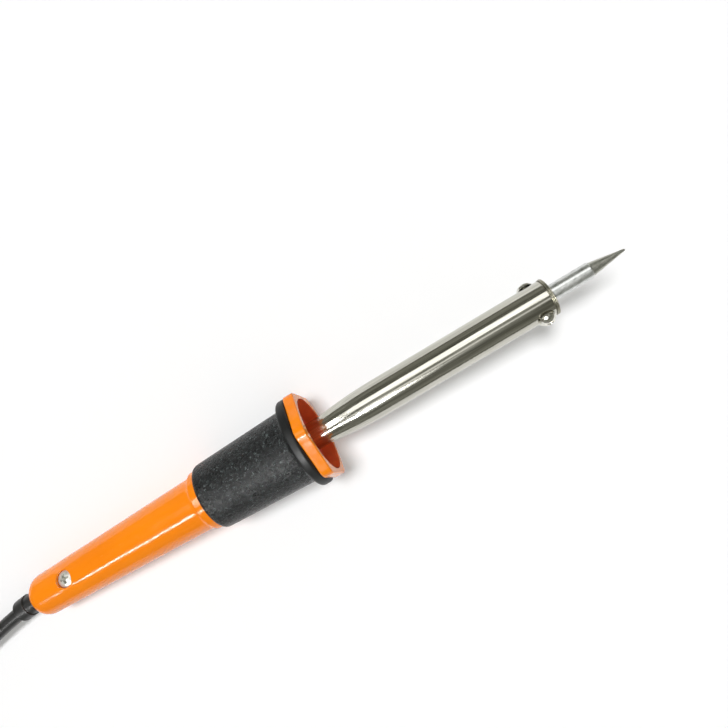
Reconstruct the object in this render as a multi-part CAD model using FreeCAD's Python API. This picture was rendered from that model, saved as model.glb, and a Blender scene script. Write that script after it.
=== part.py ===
import FreeCAD, Part
import math
import os

from FreeCAD import Placement, Rotation, Vector

# Soldering iron for mains voltage, pencil type, lying on a table. Millimetres.
# The iron is drawn with its axis along +X (0 at the tail of the handle), then laid on the
# table: it rests on the tail, on the round lip of the grip and on a corner of the flange.
# Angles round the axis are counted from the top towards -Y.

# ---- handle: one orange moulding -------------------------------------------------------
TAIL_R = 7.35  # outside radius at the tail
TAIL_EDGE = 4.3  # rounding of the tail end
WAIST_R = 9.5  # outside radius just behind the bead
BEAD_X = 70.0  # rear of the raised bead that the grip stops against
BEAD_R = 10.6
BEAD_RISE = 1.6  # length of the curve up to the bead
BEAD_WIDTH = 2.4
TAIL_WALL = 2.2
SIDE_WALL = 2.05
CAVITY_FRONT_R = 6.0
SHOULDER_X = 101.5  # floor of the cup, where the barrel's flange is screwed down
CUP_FLOOR_R = 9.8
CUP_FLOOR_DEPTH = 4.0  # straight part of the cup above its floor
CUP_MOUTH_R = 13.3
CUP_MOUTH_DEPTH = 4.8
FLANGE_BACK_X = 111.5
FLANGE_WIDTH = 3.7
FLANGE_INRADIUS = 14.83  # half of the size across flats
FLANGE_SIDES = 6
FLANGE_CORNER = 3.5
FLANGE_EDGE = 0.3
RIB_START = 8.0  # ribs inside the tail that hold the cord clamp
RIB_LENGTH = 17.0
ANVIL_RIB_WIDTH = 3.0
SCREW_RIB_WIDTH = 5.2

# ---- grip sleeve: black rubber ---------------------------------------------------------
GRIP_REAR_R = 11.85
GRIP_FRONT_R = 13.2
GRIP_WALL = 1.95
GRIP_REAR_EDGE = 1.2
LIP_R = 15.9
LIP_EDGE = 1.1
LIP_WIDTH = 3.6
LIP_WALL = 1.35
LIP_COVE = 1.3
FLARE_LENGTH = 2.8  # cone of the handle that carries the lip
SLEEVE_FIT = 0.03

# ---- barrel, flange plate and nose -----------------------------------------------------
NECK_R = 4.9
BARREL_R = 6.25
BARREL_WALL = 0.45
NECK_END_X = 116.0
NECK_COVE_LENGTH = 4.0  # concave part of the swaged shoulder
NECK_CROWN_LENGTH = 20.0  # convex part of the swaged shoulder
RIM_R = 6.6
RIM_THICKNESS = 0.6
PLATE_R = 9.7
PLATE_THICKNESS = 1.2
PLATE_SCREWS = 2
PLATE_SCREW_PCD = 16.4
PLATE_SCREW_R = 0.95
PLATE_SCREW_HEAD_R = 1.55
PLATE_SCREW_HEAD = 1.1
PLATE_SCREW_LENGTH = 6.0
NOSE_X = 201.1  # front end of the tube
NOSE_LIP_R = 6.45
NOSE_LIP_WIDTH = 1.3
NOSE_GROOVE_R = 6.0
NOSE_GROOVE = 0.35
SPIGOT_LENGTH = 7.6
FIT = 0.05  # gap of parts that are pushed together

# ---- bit and its two clamp screws ------------------------------------------------------
BIT_R = 2.7
BIT_REAR_X = 151.0
BIT_SHOULDER_X = 217.2
BIT_CHAMFER = 0.5
CONE_BASE_R = 2.4
TIP_X = 230.0
TIP_R = 0.4
BIT_FIT = 0.08  # running gap round the bit
BIT_PUSH = 0.72  # the near screw holds the bit this far off the axis
CLAMP_SCREW_X = 197.5
CLAMP_ROLL = 58.4  # angle of the near screw round the axis
CLAMP_SCREW_R = 1.5
CLAMP_HEAD_R = 2.7
CLAMP_HEAD = 1.75
CLAMP_TIP_GAP = 0.05
THREAD_FIT = 0.05
WASHER_R = 3.0
WASHER_THICKNESS = 0.5
WASHER_GAP = 0.1  # washer round the screw
SEAT_GAP = 0.05  # under the head and under the washer, which both move
CLAMP_HEAD_RIM = 0.35  # straight side below the dome
RECESS_WIDTH = 0.7
RECESS_REACH = 1.5
RECESS_DEPTH = 0.9

# ---- heater ----------------------------------------------------------------------------
SPACER_X = 143.0
SPACER_THICKNESS = 3.0
CORE_WALL = 0.9
WINDING_MARGIN = 4.0
WINDING_TURNS = 10
WINDING_WIRE = 0.5
MICA_THICKNESS = 0.3
MICA_OVERLAP = 1.0
CORE_SLOT_WIDTH = 1.2
CORE_SLOT_DEPTH = 3.0
TAIL_WIRE_R = 0.25
LEAD_OFFSET = 2.3
LEAD_WIRE_R = 0.4
LEAD_SLEEVE_R = 1.15
LEAD_SLEEVE_BORE = 0.45

# ---- terminals and cord entry ----------------------------------------------------------
BLOCK_X = 44.0
BLOCK_LENGTH = 14.0
BLOCK_WIDTH = 8.4
BLOCK_HEIGHT = 6.8
BLOCK_EDGE = 0.5
TUBE_R = 1.25
TUBE_BORE = 0.65
TUBE_MARGIN = 0.5
TERMINAL_SCREW_R = 0.7
TERMINAL_SCREW_HEAD_R = 1.2
TERMINAL_SCREW_HEAD = 0.7
TERMINAL_SCREW_INSET = 3.5
CORD_R = 2.5
CORD_INNER_END = 24.0
CORE_R = 0.9
CORE_BARE_R = 0.55
CORE_SPLIT = 1.1
CORE_STRIP = 1.5
TAIL_SCREW_X = 16.7
TAIL_SCREW_R = 1.5
TAIL_HEAD_R = 2.8
TAIL_HEAD = 1.4
TAIL_HEAD_SINK = 0.2  # how far the top of the head lies below the handle's crown
TAIL_HEAD_GAP = 0.15
TAIL_RECESS_WIDTH = 0.6
TAIL_RECESS_REACH = 1.4
TAIL_RECESS_DEPTH = 0.7
RIB_ROOT = 1.0  # how deep the ribs reach into the wall, from the outside at the tail
CLAMP_PLATE_LENGTH = 5.0
CLAMP_PLATE_WIDTH = 5.6
CLAMP_PLATE_HEIGHT = 1.6
CLAMP_PLATE_WING = 0.8
RELIEF_R = 3.6
RELIEF_END_R = 4.0
RELIEF_LENGTH = 8.0
RELIEF_END_LENGTH = 4.0
RELIEF_FLANGE_R = 4.7
RELIEF_FLANGE = 2.2
RELIEF_TURN = 9.0  # degrees that the relief bends towards -Y

# ---- free cord -------------------------------------------------------------------------
# Points are chosen by hand: steps from the exit, then from the middle of the hank, and
# heights above the table.
LEAD_FIRST_RUN = 12.0  # straight out of the strain relief
LEAD_ROUTE = ((-24.5, -5.4, 3.7), (-35.5, -8.8, 2.6))
HANK_FROM_EXIT = (-90.56, 3.03)
HANK_HALF = 41.0  # from the middle of the hank to the centre of each end loop
HANK_TURNS = 4
LOOP_R = 16.75
WAIST_HALF = 2.6  # half the distance between the two sides at the tie
WAIST_LENGTH = 10.0
FLOOR_GAP = 0.1
TURN_RISE = 5.1
TIE_WIDTH = 8.0
TIE_THICKNESS = 0.8
TIE_SQUEEZE = 0.7
TIE_SLACK = 0.2
TAIL_FIRST_RUN = 6.5
TAIL_ROUTE = (
    (-19.0, -7.4, 23.6),
    (-34.0, -12.6, 24.6),
    (-48.0, -15.6, 25.2),
    (-60.5, -15.2, 23.0),
    (-71.0, -12.2, 17.4),
    (-80.5, -8.2, 11.8),
    (-89.5, -4.4, 8.2),
    (-98.0, -1.9, 6.85),
    (-106.0, -1.0, 6.85),
    (-113.0, -1.0, 6.85),
)
PLUG_RELIEF_LENGTH = 20.0
PLUG_RELIEF_REAR_R = 3.3
PLUG_RELIEF_FRONT_R = 4.9
PLUG_LENGTH = 30.0
PLUG_GRIP_LENGTH = 12.0
PLUG_FACE_LENGTH = 10.0
PLUG_WIDTH = 35.3
PLUG_HEIGHT = 13.7
PLUG_REAR_WIDTH = 15.0
PLUG_REAR_HEIGHT = 11.4
PLUG_GRIP_WIDTH = 22.0
PLUG_CORNER = 2.6
PIN_R = 2.0
PIN_LENGTH = 19.0
PIN_SPACING = 19.0
PIN_ROOT = 8.0
PIN_TIP = 0.8
PIN_SLEEVE_LENGTH = 10.0
PIN_NECK_R = 1.4
PIN_SLEEVE_R = 1.8

# ---- sizes that follow from the ones above ---------------------------------------------
GRIP_X = BEAD_X + BEAD_WIDTH
LIP_BACK_X = FLANGE_BACK_X - LIP_WIDTH
FLANGE_FRONT_X = FLANGE_BACK_X + FLANGE_WIDTH
CORE_UNDER_REAR_R = GRIP_REAR_R - GRIP_WALL
CORE_UNDER_FRONT_R = GRIP_FRONT_R - GRIP_WALL
CORE_UNDER_LIP_R = LIP_R - LIP_WALL
CAVITY_REAR_R = TAIL_R - SIDE_WALL
CAVITY_FRONT_X = SHOULDER_X - RIM_THICKNESS
NOSE_BORE_R = BIT_R + BIT_FIT
CORE_BORE_R = BIT_R + BIT_PUSH + BIT_FIT
CORE_OUTER_R = CORE_BORE_R + CORE_WALL
WINDING_R = CORE_OUTER_R + WINDING_WIRE
SPIGOT_REAR_X = NOSE_X - SPIGOT_LENGTH
NOSE_FRONT_X = NOSE_X + NOSE_LIP_WIDTH
CORE_REAR_X = SPACER_X + SPACER_THICKNESS
BARREL_BORE_R = BARREL_R - BARREL_WALL
SWAGE_END_X = NECK_END_X + NECK_COVE_LENGTH + NECK_CROWN_LENGTH
SLEEVE_TAPER_END = LIP_BACK_X - LIP_COVE
PLATE_FRONT_X = SHOULDER_X + PLATE_THICKNESS
HANDLE_SLOPE = (WAIST_R - TAIL_R) / (BEAD_X - BEAD_RISE - TAIL_EDGE)
TAIL_HEAD_TOP = TAIL_R + (TAIL_SCREW_X - TAIL_EDGE) * HANDLE_SLOPE - TAIL_HEAD_SINK
TAIL_SEAT = TAIL_HEAD_TOP - TAIL_HEAD
CLAMP_TOP = CORD_R + CLAMP_PLATE_HEIGHT
WASHER_BASE = BARREL_R + SEAT_GAP
WASHER_TOP = WASHER_BASE + WASHER_THICKNESS
CLAMP_HEAD_BASE = WASHER_TOP + SEAT_GAP
CLAMP_HEAD_TOP = CLAMP_HEAD_BASE + CLAMP_HEAD
BLOCK_FRONT_X = BLOCK_X + BLOCK_LENGTH
TERMINAL_XS = (BLOCK_X + TERMINAL_SCREW_INSET, BLOCK_FRONT_X - TERMINAL_SCREW_INSET)
RELIEF_RADIUS = RELIEF_LENGTH / math.radians(RELIEF_TURN)

# ---- how it lies -----------------------------------------------------------------------
# The tail rounding and the rear edge of the lip touch the table.
REST_LENGTH = LIP_BACK_X + LIP_EDGE - TAIL_EDGE
REST_RISE = (LIP_R - LIP_EDGE) - (TAIL_R - TAIL_EDGE)
TILT = math.atan2(REST_RISE, REST_LENGTH) + math.asin(
    (LIP_EDGE - TAIL_EDGE) / math.hypot(REST_LENGTH, REST_RISE)
)
AXIS_HEIGHT = (TAIL_R - TAIL_EDGE) * math.cos(TILT) - TAIL_EDGE * math.sin(TILT) + TAIL_EDGE
# The lowest corner of the flange touches it too, which sets the roll.
CORNER_X = FLANGE_BACK_X + FLANGE_EDGE
CORNER_DROP = (AXIS_HEIGHT + CORNER_X * math.sin(TILT)) / math.cos(TILT) - FLANGE_CORNER
CORNER_RADIUS = (FLANGE_INRADIUS - FLANGE_CORNER) / math.cos(math.pi / FLANGE_SIDES)
ROLL = math.degrees(math.acos(CORNER_DROP / CORNER_RADIUS))

ORIGIN = Vector(0.0, 0.0, 0.0)
AXIS = Vector(1.0, 0.0, 0.0)
ACROSS = Vector(0.0, 1.0, 0.0)
UP = Vector(0.0, 0.0, 1.0)


# ---- shapes ----------------------------------------------------------------------------
def at(x, r):
    return Vector(x, 0.0, r)


def rounded(x, r, radius, start, end):
    """Arc of an outline, about (x, r), between two angles in degrees (0 is +X, 90 outwards)."""
    middle = math.radians((start + end) / 2.0)
    last = math.radians(end)
    return (
        at(x + radius * math.cos(middle), r + radius * math.sin(middle)),
        at(x + radius * math.cos(last), r + radius * math.sin(last)),
    )


def turned(first, *steps):
    """Solid of revolution round the iron's axis from a closed outline of (x, radius) steps."""
    edges = []
    here = at(*first)
    for step in steps + (first,):
        if isinstance(step[0], Vector):
            middle, there = step
            edges.append(Part.Arc(here, middle, there).toShape())
        else:
            there = at(*step)
            edges.append(Part.LineSegment(here, there).toShape())
        here = there
    return Part.Face(Part.Wire(edges)).revolve(ORIGIN, AXIS, 360.0)


def rod(x0, x1, radius, y=0.0):
    return Part.makeCylinder(radius, x1 - x0, Vector(x0, y, 0.0), AXIS)


def pipe(x0, x1, outer, inner, y=0.0):
    return rod(x0, x1, outer, y).cut(rod(x0 - 1.0, x1 + 1.0, inner, y))


def post(x, low, high, radius, y=0.0):
    """Cylinder that stands on the axis and points up."""
    return Part.makeCylinder(radius, high - low, Vector(x, y, low), UP)


def block(x0, x1, width, low, high):
    return Part.makeBox(x1 - x0, width, high - low, Vector(x0, -width / 2.0, low))


def cross_recess(x, top, width, reach, depth):
    """Cutter for a driver's cross in the top of a screw head."""
    along = block(x - reach, x + reach, width, top - depth, top + 1.0)
    across = block(x - width / 2.0, x + width / 2.0, 2.0 * reach, top - depth, top + 1.0)
    return along.fuse(across)


def rolled(shape, angle):
    moved = shape.copy()
    moved.rotate(ORIGIN, AXIS, angle)
    return moved


def end_edges(shape, direction, places):
    """Edges that lie wholly in one of the planes at the given places along a direction."""
    found = []
    for edge in shape.Edges:
        heights = [vertex.Point.dot(direction) for vertex in edge.Vertexes]
        for place in places:
            if all(abs(height - place) < 1e-6 for height in heights):
                found.append(edge)
    return found


def bent(radius, turn, begin=0.0):
    """Round bar along the bend of the strain relief, which turns from the axis towards -Y."""
    centre = Vector(0.0, -RELIEF_RADIUS, 0.0)
    section = Part.Face(Part.Wire(Part.Circle(ORIGIN, AXIS, radius).toShape()))
    bar = section.revolve(centre, UP, turn)
    bar.rotate(centre, UP, begin)
    return bar


# ---- cords -----------------------------------------------------------------------------
def cord_tube(name, points, radius):
    """Tube of straight runs joined by tangent arcs, each as large as its two runs allow."""
    edges = []
    radii = []
    here = points[0]
    for before, corner, after in zip(points, points[1:], points[2:]):
        back = before - corner
        ahead = after - corner
        turn = math.pi - back.getAngle(ahead)
        reach = 0.45 * min(back.Length, ahead.Length)
        radii.append(reach / math.tan(turn / 2.0))
        back.normalize()
        ahead.normalize()
        start = corner + back * reach
        end = corner + ahead * reach
        inward = (back + ahead).normalize()
        depth = radii[-1] / math.cos(turn / 2.0) - radii[-1]
        edges.append(Part.LineSegment(here, start).toShape())
        edges.append(Part.Arc(start, corner + inward * depth, end).toShape())
        here = end
    edges.append(Part.LineSegment(here, points[-1]).toShape())
    path = Part.Wire(edges)
    direction = points[1] - points[0]
    section = Part.Wire(Part.Circle(points[0], direction, radius).toShape())
    tube = path.makePipeShell([section], True, False)
    expected = math.pi * radius * radius * path.Length
    print(name, "arc radii", [round(value, 1) for value in radii])
    print(name, "length", round(path.Length, 1), "volume", round(tube.Volume, 1),
          "section x length", round(expected, 1))
    return tube


# ---- handle and grip -------------------------------------------------------------------
def flange_prism():
    corners = []
    for index in range(FLANGE_SIDES + 1):
        angle = 2.0 * math.pi * index / FLANGE_SIDES
        reach = FLANGE_INRADIUS / math.cos(math.pi / FLANGE_SIDES)
        corners.append(Vector(FLANGE_BACK_X, reach * math.sin(angle), reach * math.cos(angle)))
    prism = Part.Face(Part.makePolygon(corners)).extrude(AXIS * FLANGE_WIDTH)
    sides = [edge for edge in prism.Edges if abs(edge.tangentAt(edge.FirstParameter).x) > 0.9]
    prism = prism.makeFillet(FLANGE_CORNER, sides)
    rims = end_edges(prism, AXIS, (FLANGE_BACK_X, FLANGE_FRONT_X))
    return prism.makeChamfer(FLANGE_EDGE, rims)


def plate_screw_places():
    for index in range(PLATE_SCREWS):
        yield 90.0 + 360.0 * index / PLATE_SCREWS


def handle():
    outside = turned(
        (0.0, 0.0),
        (0.0, TAIL_R - TAIL_EDGE),
        rounded(TAIL_EDGE, TAIL_R - TAIL_EDGE, TAIL_EDGE, 180.0, 90.0),
        (BEAD_X - BEAD_RISE, WAIST_R),
        (at(BEAD_X - 0.4 * BEAD_RISE, 0.7 * WAIST_R + 0.3 * BEAD_R), at(BEAD_X, BEAD_R)),
        (GRIP_X, BEAD_R),
        (GRIP_X, CORE_UNDER_REAR_R),
        (SLEEVE_TAPER_END, CORE_UNDER_FRONT_R),
        (SLEEVE_TAPER_END + FLARE_LENGTH, CORE_UNDER_LIP_R),
        (FLANGE_BACK_X + FLANGE_WIDTH / 2.0, CORE_UNDER_LIP_R),
        (FLANGE_BACK_X + FLANGE_WIDTH / 2.0, 0.0),
    )
    inside = turned(
        (TAIL_WALL, 0.0),
        (TAIL_WALL, CAVITY_REAR_R),
        (CAVITY_FRONT_X, CAVITY_FRONT_R),
        (CAVITY_FRONT_X, RIM_R + FIT),
        (SHOULDER_X, RIM_R + FIT),
        (SHOULDER_X, CUP_FLOOR_R),
        (SHOULDER_X + CUP_FLOOR_DEPTH, CUP_FLOOR_R),
        (FLANGE_FRONT_X - CUP_MOUTH_DEPTH, CUP_MOUTH_R),
        (FLANGE_FRONT_X + 1.0, CUP_MOUTH_R),
        (FLANGE_FRONT_X + 1.0, 0.0),
    )
    rib_end = RIB_START + RIB_LENGTH
    rib_reach = TAIL_R - RIB_ROOT
    anvil_rib = block(RIB_START, rib_end, ANVIL_RIB_WIDTH, -rib_reach, -CORD_R)
    screw_rib = block(RIB_START, rib_end, SCREW_RIB_WIDTH, CLAMP_TOP + FIT, rib_reach)
    shell = outside.fuse(flange_prism()).cut(inside).fuse(anvil_rib).fuse(screw_rib)
    crown = TAIL_HEAD_TOP + TAIL_HEAD
    shell = shell.cut(post(TAIL_SCREW_X, CORD_R, crown, TAIL_SCREW_R + THREAD_FIT))
    shell = shell.cut(post(TAIL_SCREW_X, TAIL_SEAT, crown, TAIL_HEAD_R + TAIL_HEAD_GAP))
    shell = shell.cut(rod(-1.0, TAIL_WALL + 1.0, RELIEF_R + FIT))
    depth = PLATE_SCREW_LENGTH - PLATE_THICKNESS + 1.0
    for angle in plate_screw_places():
        hole = rod(SHOULDER_X - depth, SHOULDER_X + 1.0, PLATE_SCREW_R + THREAD_FIT)
        hole.translate(UP * (PLATE_SCREW_PCD / 2.0))
        shell = shell.cut(rolled(hole, angle))
    return shell.removeSplitter()


def grip_sleeve():
    return turned(
        (GRIP_X, CORE_UNDER_REAR_R + SLEEVE_FIT),
        (GRIP_X, GRIP_REAR_R - GRIP_REAR_EDGE),
        rounded(GRIP_X + GRIP_REAR_EDGE, GRIP_REAR_R - GRIP_REAR_EDGE, GRIP_REAR_EDGE, 180.0, 90.0),
        (SLEEVE_TAPER_END, GRIP_FRONT_R),
        rounded(SLEEVE_TAPER_END, GRIP_FRONT_R + LIP_COVE, LIP_COVE, 270.0, 360.0),
        (LIP_BACK_X, LIP_R - LIP_EDGE),
        rounded(LIP_BACK_X + LIP_EDGE, LIP_R - LIP_EDGE, LIP_EDGE, 180.0, 90.0),
        (FLANGE_BACK_X - LIP_EDGE, LIP_R),
        rounded(FLANGE_BACK_X - LIP_EDGE, LIP_R - LIP_EDGE, LIP_EDGE, 90.0, 0.0),
        (FLANGE_BACK_X, CORE_UNDER_LIP_R + SLEEVE_FIT),
        (SLEEVE_TAPER_END + FLARE_LENGTH, CORE_UNDER_LIP_R + SLEEVE_FIT),
        (SLEEVE_TAPER_END, CORE_UNDER_FRONT_R + SLEEVE_FIT),
    )


# ---- cord entry ------------------------------------------------------------------------
def strain_relief():
    collar_turn = RELIEF_TURN * RELIEF_END_LENGTH / RELIEF_LENGTH
    collar = bent(RELIEF_END_R, collar_turn, RELIEF_TURN - collar_turn)
    rims = []
    for edge in collar.Edges:
        if isinstance(edge.Curve, Part.Circle) and edge.Curve.Radius < RELIEF_END_R + FIT:
            rims.append(edge)
    collar = collar.makeFillet((RELIEF_END_R - RELIEF_R) / 2.0, rims)
    relief = rod(TAIL_WALL, TAIL_WALL + RELIEF_FLANGE, RELIEF_FLANGE_R)
    relief = relief.fuse(rod(0.0, TAIL_WALL, RELIEF_R))
    relief = relief.fuse(bent(RELIEF_R, RELIEF_TURN)).fuse(collar)
    bore = rod(0.0, TAIL_WALL + RELIEF_FLANGE + 1.0, CORD_R + FIT)
    bore = bore.fuse(bent(CORD_R + FIT, RELIEF_TURN + 1.0))
    return relief.cut(bore)


def cord_entry():
    return rod(0.0, CORD_INNER_END, CORD_R).fuse(bent(CORD_R, RELIEF_TURN))


def cord_clamp():
    half = CLAMP_PLATE_LENGTH / 2.0
    plate = block(
        TAIL_SCREW_X - half,
        TAIL_SCREW_X + half,
        CLAMP_PLATE_WIDTH,
        CORD_R - CLAMP_PLATE_WING,
        CLAMP_TOP,
    )
    return plate.cut(rod(0.0, CORD_INNER_END, CORD_R))


def tail_screw():
    head = post(TAIL_SCREW_X, TAIL_SEAT, TAIL_HEAD_TOP, TAIL_HEAD_R)
    head = head.makeFillet(TAIL_HEAD / 3.0, end_edges(head, UP, (TAIL_HEAD_TOP,)))
    head = head.cut(
        cross_recess(
            TAIL_SCREW_X,
            TAIL_HEAD_TOP,
            TAIL_RECESS_WIDTH,
            TAIL_RECESS_REACH,
            TAIL_RECESS_DEPTH,
        )
    )
    return head.fuse(post(TAIL_SCREW_X, CLAMP_TOP, TAIL_SEAT, TAIL_SCREW_R))


# ---- terminals -------------------------------------------------------------------------
def sides():
    return (-LEAD_OFFSET, LEAD_OFFSET)


def terminal_block():
    half = BLOCK_HEIGHT / 2.0
    body = block(BLOCK_X, BLOCK_FRONT_X, BLOCK_WIDTH, -half, half)
    along = [edge for edge in body.Edges if abs(edge.tangentAt(edge.FirstParameter).x) > 0.9]
    body = body.makeFillet(BLOCK_EDGE, along)
    for y in sides():
        body = body.cut(rod(BLOCK_X - 1.0, BLOCK_FRONT_X + 1.0, TUBE_R, y))
        for x in TERMINAL_XS:
            body = body.cut(post(x, 0.0, half + 1.0, TERMINAL_SCREW_HEAD_R + FIT, y))
    return body


def terminal_tubes():
    tubes = []
    for y in sides():
        tube = pipe(BLOCK_X + TUBE_MARGIN, BLOCK_FRONT_X - TUBE_MARGIN, TUBE_R, TUBE_BORE, y)
        for x in TERMINAL_XS:
            tube = tube.cut(post(x, 0.0, TUBE_R + 1.0, TERMINAL_SCREW_R + THREAD_FIT, y))
        tubes.append(tube)
    return Part.makeCompound(tubes)


def terminal_screws():
    screws = []
    tips = (CORE_BARE_R, LEAD_WIRE_R)
    base = BLOCK_HEIGHT / 2.0 - 2.0 * TERMINAL_SCREW_HEAD
    for y in sides():
        for x, tip in zip(TERMINAL_XS, tips):
            head = post(x, base, base + TERMINAL_SCREW_HEAD, TERMINAL_SCREW_HEAD_R, y)
            screws.append(head.fuse(post(x, tip, base, TERMINAL_SCREW_R, y)))
    return Part.makeCompound(screws)


def core(name, side):
    strip_x = BLOCK_X - CORE_STRIP
    step = (strip_x - CORD_INNER_END) / 3.0
    near = side * CORE_SPLIT
    far = side * LEAD_OFFSET
    points = [
        Vector(CORD_INNER_END, near, 0.0),
        Vector(CORD_INNER_END + step, near, 0.0),
        Vector(CORD_INNER_END + 2.0 * step, far, 0.0),
        Vector(strip_x, far, 0.0),
    ]
    bare = rod(strip_x, BLOCK_X + BLOCK_LENGTH / 2.0 - TUBE_MARGIN, CORE_BARE_R, far)
    return cord_tube(name, points, CORE_R).fuse(bare)


# ---- heater ----------------------------------------------------------------------------
def heater_lead(side):
    y = side * LEAD_OFFSET
    elbow_x = CORE_REAR_X + CORE_SLOT_DEPTH / 2.0
    wire = rod(BLOCK_X + BLOCK_LENGTH / 2.0 + TUBE_MARGIN, elbow_x, LEAD_WIRE_R, y)
    wire = wire.fuse(Part.makeSphere(LEAD_WIRE_R, Vector(elbow_x, y, 0.0)))
    outward = Vector(0.0, side, 0.0)
    reach = CORE_OUTER_R - LEAD_OFFSET
    return wire.fuse(Part.makeCylinder(LEAD_WIRE_R, reach, Vector(elbow_x, y, 0.0), outward))


def lead_sleeve(side):
    return pipe(BLOCK_FRONT_X, SPACER_X, LEAD_SLEEVE_R, LEAD_SLEEVE_BORE, side * LEAD_OFFSET)


def rear_spacer():
    disc = rod(SPACER_X, CORE_REAR_X, BARREL_BORE_R - FIT)
    for y in sides():
        disc = disc.cut(rod(SPACER_X - 1.0, CORE_REAR_X + 1.0, LEAD_SLEEVE_BORE, y))
    return disc


def heater_core():
    tube = pipe(CORE_REAR_X, SPIGOT_REAR_X, CORE_OUTER_R, CORE_BORE_R)
    half = CORE_SLOT_WIDTH / 2.0
    wide = 3.0 * CORE_OUTER_R
    slot = block(CORE_REAR_X - 1.0, CORE_REAR_X + CORE_SLOT_DEPTH, wide, -half, half)
    return tube.cut(slot)


def heater_winding():
    start = CORE_REAR_X + WINDING_MARGIN
    pitch = (SPIGOT_REAR_X - WINDING_MARGIN - start) / WINDING_TURNS
    valley = CORE_OUTER_R + WINDING_WIRE / 3.0
    steps = []
    for turn in range(WINDING_TURNS):
        steps.append((start + turn * pitch, valley))
        steps.append((start + (turn + 0.5) * pitch, WINDING_R))
    steps.append((start + WINDING_TURNS * pitch, valley))
    steps.append((start + WINDING_TURNS * pitch, CORE_OUTER_R))
    winding = turned((start, CORE_OUTER_R), *steps)
    for side in (-1.0, 1.0):
        y = side * (CORE_OUTER_R + TAIL_WIRE_R)
        tail_x = CORE_REAR_X + CORE_SLOT_DEPTH / 2.0 - LEAD_WIRE_R
        winding = winding.fuse(rod(tail_x, start + pitch / 2.0, TAIL_WIRE_R, y))
    return winding


def mica_wrap():
    start = CORE_REAR_X + WINDING_MARGIN - MICA_OVERLAP
    end = SPIGOT_REAR_X - WINDING_MARGIN + MICA_OVERLAP
    return pipe(start, end, WINDING_R + FIT + MICA_THICKNESS, WINDING_R + FIT)


# ---- barrel ----------------------------------------------------------------------------
def barrel_line(depth):
    """Steps along the tube's surface from the neck to the nose, some depth below it."""
    rise = BARREL_R - NECK_R
    slope = 2.0 * math.atan(rise / (NECK_COVE_LENGTH + NECK_CROWN_LENGTH))
    cove = NECK_COVE_LENGTH / math.sin(slope)
    crown = NECK_CROWN_LENGTH / math.sin(slope)
    lean = math.degrees(slope)
    return (
        (NECK_END_X, NECK_R - depth),
        rounded(NECK_END_X, NECK_R + cove, cove + depth, 270.0, 270.0 + lean),
        rounded(SWAGE_END_X, BARREL_R - crown, crown - depth, 90.0 + lean, 90.0),
        (NOSE_X, BARREL_R - depth),
    )


def barrel():
    outside = turned(
        (CAVITY_FRONT_X, 0.0),
        (CAVITY_FRONT_X, RIM_R),
        (SHOULDER_X, RIM_R),
        (SHOULDER_X, NECK_R),
        *barrel_line(0.0),
        (NOSE_X, 0.0),
    )
    inside = turned(
        (CAVITY_FRONT_X - 1.0, 0.0),
        (CAVITY_FRONT_X - 1.0, NECK_R - BARREL_WALL),
        *barrel_line(BARREL_WALL),
        (NOSE_X + 1.0, BARREL_BORE_R),
        (NOSE_X + 1.0, 0.0),
    )
    hole = post(CLAMP_SCREW_X, -2.0 * BARREL_R, 2.0 * BARREL_R, CLAMP_SCREW_R + WASHER_GAP)
    return outside.cut(inside).cut(rolled(hole, CLAMP_ROLL))


def barrel_flange():
    plate = pipe(SHOULDER_X, PLATE_FRONT_X, PLATE_R, NECK_R + FIT)
    for angle in plate_screw_places():
        hole = rod(SHOULDER_X - 1.0, PLATE_FRONT_X + 1.0, PLATE_SCREW_R + THREAD_FIT)
        hole.translate(UP * (PLATE_SCREW_PCD / 2.0))
        plate = plate.cut(rolled(hole, angle))
    return plate


def flange_screws():
    screws = []
    top = PLATE_FRONT_X + PLATE_SCREW_HEAD
    for angle in plate_screw_places():
        head = rod(PLATE_FRONT_X, top, PLATE_SCREW_HEAD_R)
        head = head.makeFillet(PLATE_SCREW_HEAD / 2.0, end_edges(head, AXIS, (top,)))
        screw = head.fuse(rod(PLATE_FRONT_X - PLATE_SCREW_LENGTH, PLATE_FRONT_X, PLATE_SCREW_R))
        screw.translate(UP * (PLATE_SCREW_PCD / 2.0))
        screws.append(rolled(screw, angle))
    return Part.makeCompound(screws)


def pushed(shape):
    """Moved off the axis to where the near clamp screw holds the bit."""
    moved = shape.copy()
    moved.translate(UP * -BIT_PUSH)
    return rolled(moved, CLAMP_ROLL)


def nose_collar():
    edge = NOSE_LIP_R - NOSE_GROOVE_R
    collar = turned(
        (SPIGOT_REAR_X, 0.0),
        (SPIGOT_REAR_X, BARREL_BORE_R - FIT),
        (NOSE_X, BARREL_BORE_R - FIT),
        (NOSE_X, NOSE_GROOVE_R),
        (NOSE_X + NOSE_GROOVE, NOSE_GROOVE_R),
        (NOSE_X + NOSE_GROOVE, NOSE_LIP_R),
        (NOSE_FRONT_X - edge, NOSE_LIP_R),
        rounded(NOSE_FRONT_X - edge, NOSE_GROOVE_R, edge, 90.0, 0.0),
        (NOSE_FRONT_X, 0.0),
    )
    collar = collar.cut(pushed(rod(SPIGOT_REAR_X - 1.0, NOSE_FRONT_X + 1.0, NOSE_BORE_R)))
    hole = post(CLAMP_SCREW_X, -2.0 * BARREL_R, 2.0 * BARREL_R, CLAMP_SCREW_R + THREAD_FIT)
    return collar.cut(rolled(hole, CLAMP_ROLL))


# ---- bit and clamp screws --------------------------------------------------------------
def bit():
    return pushed(
        turned(
            (BIT_REAR_X, 0.0),
            (BIT_REAR_X, BIT_R),
            (BIT_SHOULDER_X, BIT_R),
            (BIT_SHOULDER_X + BIT_CHAMFER, CONE_BASE_R),
            (TIP_X - TIP_R, TIP_R),
            rounded(TIP_X - TIP_R, 0.0, TIP_R, 90.0, 0.0),
        )
    )


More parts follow.
